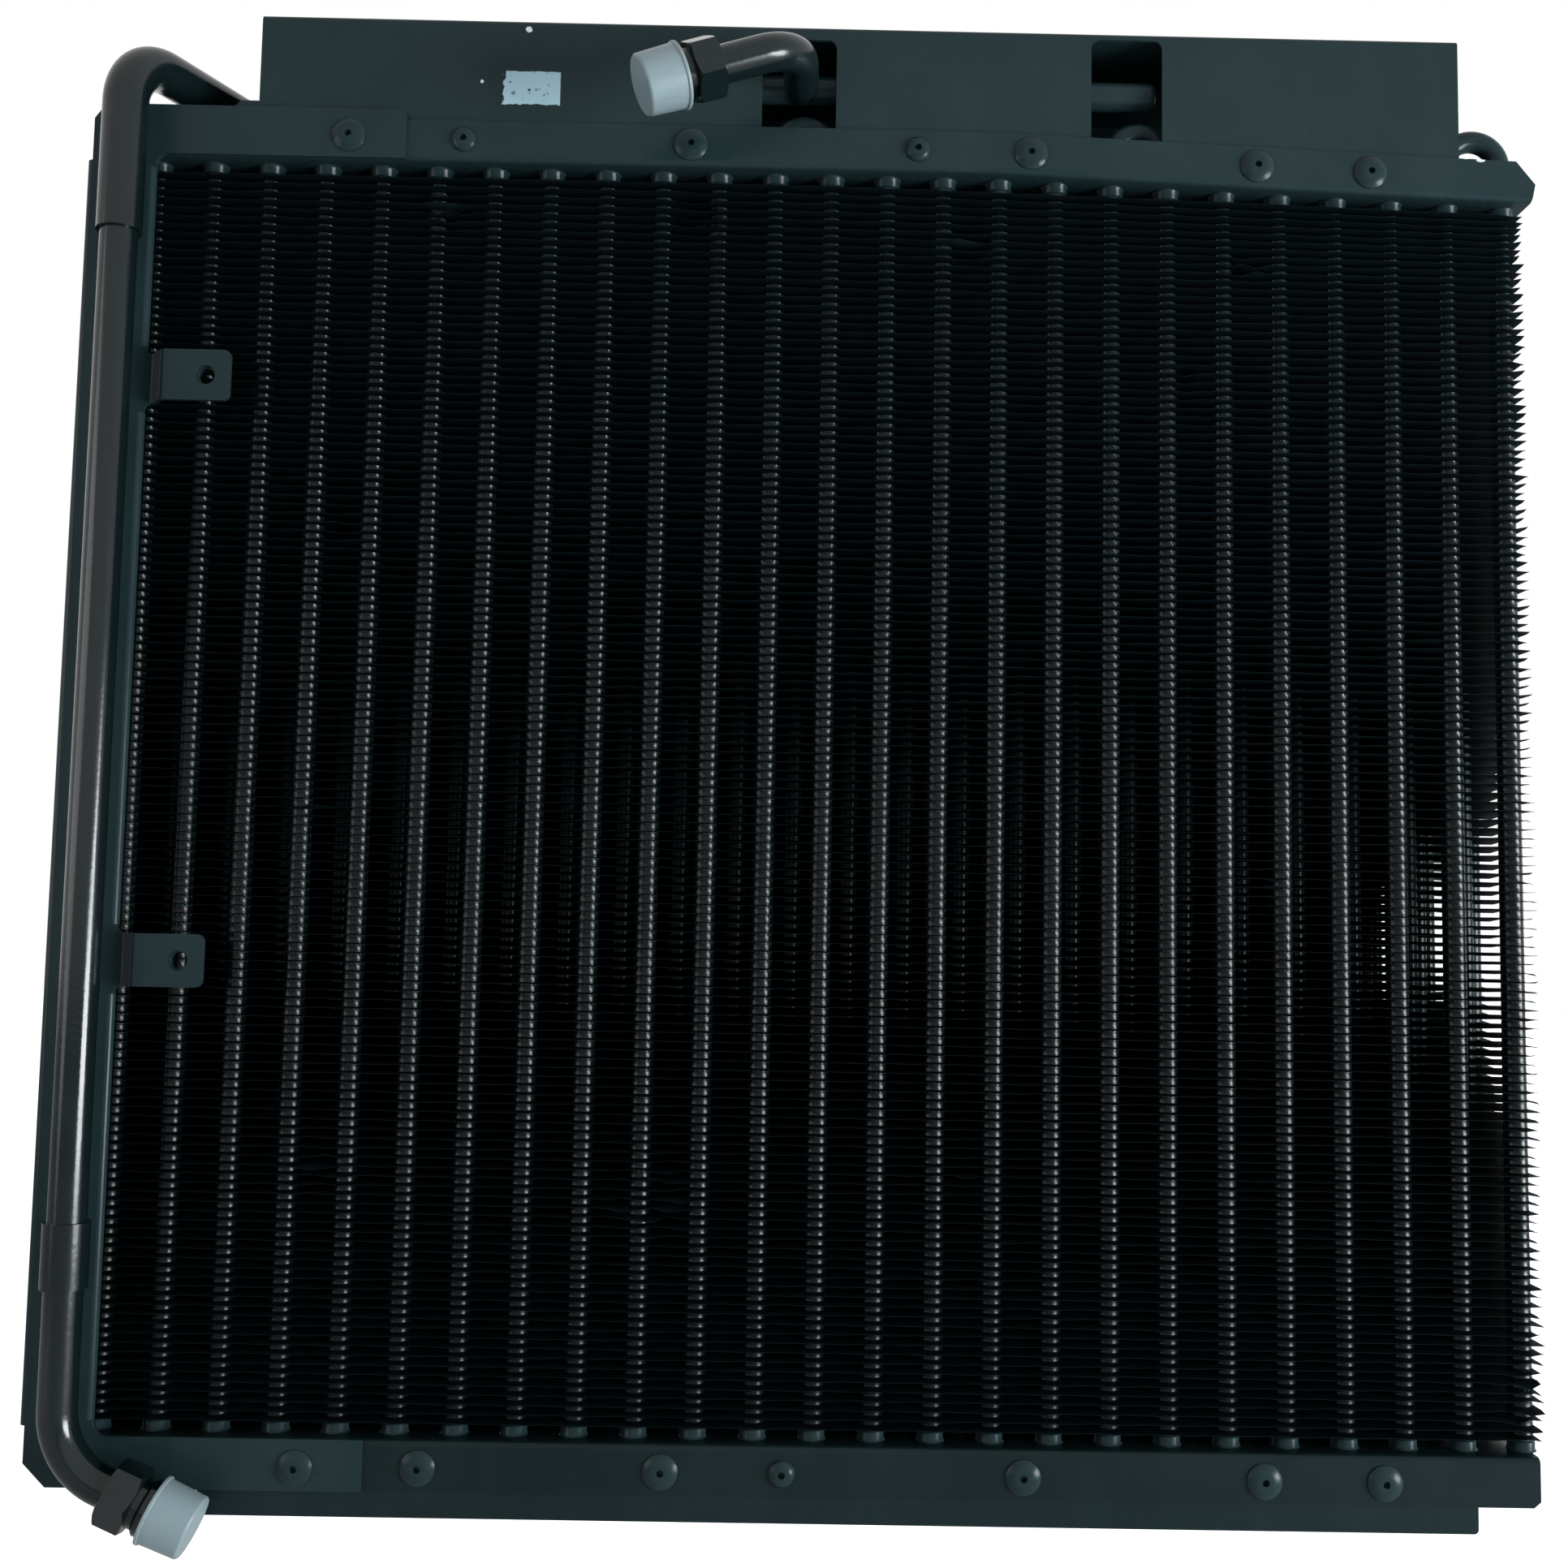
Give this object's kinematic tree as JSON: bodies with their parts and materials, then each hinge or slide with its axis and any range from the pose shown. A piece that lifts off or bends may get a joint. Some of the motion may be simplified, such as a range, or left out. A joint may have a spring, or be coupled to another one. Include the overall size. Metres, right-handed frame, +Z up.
{
  "type": "air conditioning condenser",
  "caption": "Round-tube, plate-fin refrigerant condenser with end channels, a folded side plate with threaded tabs, headers, a gas pipe and capped hose fittings.",
  "frame": {"origin": "midway between the two weld nuts, in the plane of their mouths at the back of the tabs", "axes": "+Z up, as mounted; the front with the pipe and the fittings faces -Y; +X to the right as seen from the front"},
  "size_m": [0.6475, 0.1521, 0.665],
  "materials": {
    "fin_pack": "thin sheet, painted black",
    "front_row_tubes": "glossy black paint",
    "second_row_tubes": "glossy black paint",
    "third_row_tubes": "glossy black paint",
    "rear_row_tubes": "glossy black paint",
    "front_row_bends": "glossy black paint",
    "second_row_bends": "glossy black paint",
    "third_row_bends": "glossy black paint",
    "rear_row_bends": "glossy black paint",
    "crossover_bends": "glossy black paint",
    "top_channel": "glossy black paint",
    "bottom_channel": "glossy black paint",
    "side_plate": "glossy black paint",
    "weld_nuts": "glossy black paint",
    "cover_plate": "glossy black paint",
    "lower_plate": "glossy black paint",
    "top_rivets": "glossy black paint",
    "bottom_rivets": "glossy black paint",
    "gas_header": "glossy black paint",
    "gas_stubs": "glossy black paint",
    "liquid_header": "glossy black paint",
    "liquid_stubs": "glossy black paint",
    "upper_pipe_bend": "glossy black paint",
    "vertical_pipe": "glossy black paint",
    "coupling_sleeve": "glossy black paint",
    "lower_pipe_bend": "glossy black paint",
    "lower_fitting": "glossy black paint",
    "lower_cap": "white translucent plastic",
    "elbow": "glossy black paint",
    "upper_fitting": "glossy black paint",
    "upper_cap": "white translucent plastic"
  },
  "bodies": {
    "root": {"fin_pack": "fin_pack", "front_row_tubes": "front_row_tubes", "second_row_tubes": "second_row_tubes", "third_row_tubes": "third_row_tubes", "rear_row_tubes": "rear_row_tubes", "front_row_bends": "front_row_bends", "second_row_bends": "second_row_bends", "third_row_bends": "third_row_bends", "rear_row_bends": "rear_row_bends", "crossover_bends": "crossover_bends", "top_channel": "top_channel", "bottom_channel": "bottom_channel", "side_plate": "side_plate", "weld_nuts": "weld_nuts", "cover_plate": "cover_plate", "lower_plate": "lower_plate", "top_rivets": "top_rivets", "bottom_rivets": "bottom_rivets", "gas_header": "gas_header", "gas_stubs": "gas_stubs", "liquid_header": "liquid_header", "liquid_stubs": "liquid_stubs", "upper_pipe_bend": "upper_pipe_bend", "vertical_pipe": "vertical_pipe", "coupling_sleeve": "coupling_sleeve", "lower_pipe_bend": "lower_pipe_bend", "lower_fitting": "lower_fitting", "lower_cap": "lower_cap", "elbow": "elbow", "upper_fitting": "upper_fitting", "upper_cap": "upper_cap"}
  },
  "joints": []
}
